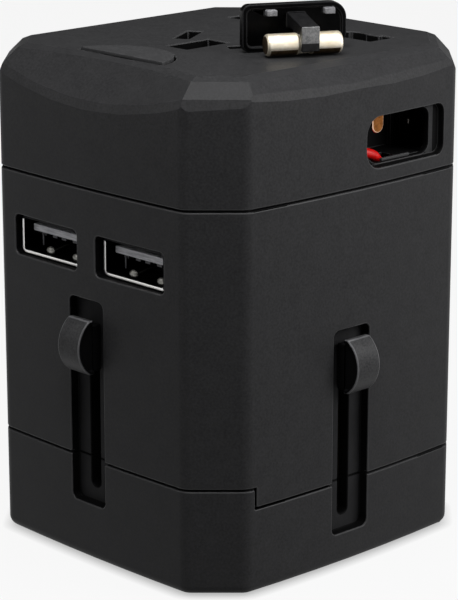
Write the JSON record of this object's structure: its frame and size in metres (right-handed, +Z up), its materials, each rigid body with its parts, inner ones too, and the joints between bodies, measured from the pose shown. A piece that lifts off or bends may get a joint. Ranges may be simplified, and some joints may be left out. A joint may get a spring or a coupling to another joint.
{
  "type": "universal travel adapter",
  "caption": "Block-shaped travel adapter with slide-out plug pins and blades, a combined socket on top, USB charging ports, a release button and a fuse drawer drawn out of its slot.",
  "frame": {"origin": "centre of the base, on the surface it stands on", "axes": "+Z up; -Y is the front with the USB ports; +X is the side with the fuse slot"},
  "size_m": [0.0574, 0.0636, 0.082],
  "materials": {
    "head_plastic": "fine satin texture",
    "shell_plastic": "fine satin texture",
    "cap_plastic": "fine satin texture",
    "knob_plastic": "satin",
    "button_plastic": "satin",
    "drawer_plastic": "satin",
    "inner_plastic": "moulded",
    "sleeve_plastic": "moulded",
    "nickel_brass": "nickel plated",
    "contact_brass": "rolled strip",
    "copper_strip": "rolled copper strip",
    "steel": "nickel plated",
    "tongue_plastic": "moulded",
    "lead_red": "soft red insulation",
    "fuse_ceramic": "glazed ceramic",
    "fuse_cap_metal": "tin plated",
    "board_green": "solder mask",
    "ferrite": "sintered",
    "coil_tape": "wound tape",
    "can_aluminium": "sleeved",
    "chip_resin": "moulded resin"
  },
  "bodies": {
    "casing": {"socket_head": "head_plastic", "middle_shell": "shell_plastic", "bottom_cap": "cap_plastic", "case_screws": "steel", "button_spring": "steel", "fuse_holder": "inner_plastic", "fuse_contact_front": "copper_strip", "fuse_contact_rear": "copper_strip", "fuse_lead": "lead_red", "contact_carrier": "inner_plastic", "live_contacts": "contact_brass", "neutral_contacts": "contact_brass", "inner_frame": "inner_plastic", "frame_screws": "steel", "live_rail": "contact_brass", "neutral_rail": "contact_brass", "circuit_board": "board_green", "transformer_core": "ferrite", "transformer_coil": "coil_tape", "capacitors": "can_aluminium", "control_chip": "chip_resin", "usb_shell_left": "steel", "usb_shell_right": "steel", "usb_tongue_left": "tongue_plastic", "usb_tongue_right": "tongue_plastic", "usb_contacts": "contact_brass"},
    "us_slider": {"us_knob": "knob_plastic", "us_carriage": "inner_plastic", "us_wipers": "contact_brass"},
    "us_left": {"us_blade_left": "nickel_brass"},
    "us_right": {"us_blade_right": "nickel_brass"},
    "eu_slider": {"eu_knob": "knob_plastic", "eu_carriage": "inner_plastic", "eu_wipers": "contact_brass", "eu_pins": "nickel_brass", "eu_sleeves": "sleeve_plastic"},
    "uk_slider": {"uk_knob": "knob_plastic", "uk_carriage": "inner_plastic", "uk_wipers": "contact_brass", "uk_pins": "nickel_brass", "uk_sleeves": "sleeve_plastic", "uk_earth_pin": "sleeve_plastic"},
    "button": {"release_button": "button_plastic"},
    "drawer": {"fuse_drawer": "drawer_plastic", "fuse_body": "fuse_ceramic", "fuse_caps": "fuse_cap_metal"}
  },
  "joints": [
    {"name": "us_slide", "type": "slide", "parent": "casing", "child": "us_slider", "axis": [0, 0, -1], "range_m": [0, 0.019]},
    {"name": "us_left_twist", "type": "hinge", "parent": "us_slider", "child": "us_left", "pos_m": [-0.00635, -0.0184, 0.0258], "axis": [0, 0, 1], "range_deg": [0, 30]},
    {"name": "us_right_twist", "type": "hinge", "parent": "us_slider", "child": "us_right", "pos_m": [0.00635, -0.0184, 0.0258], "axis": [0, 0, 1], "range_deg": [-30, 0]},
    {"name": "eu_slide", "type": "slide", "parent": "casing", "child": "eu_slider", "axis": [0, 0, -1], "range_m": [0, 0.0203]},
    {"name": "uk_slide", "type": "slide", "parent": "casing", "child": "uk_slider", "axis": [0, 0, -1], "range_m": [0, 0.0192]},
    {"name": "button_press", "type": "slide", "parent": "casing", "child": "button", "axis": [0, 0, -1], "range_m": [0, 0.0015], "stiffness_N_per_m": 400, "springref_m": -0.003, "deforming": ["button_spring"]},
    {"name": "drawer_lift", "type": "slide", "parent": "casing", "child": "drawer", "axis": [0, 0, 1], "range_m": [0, 0.03]}
  ]
}
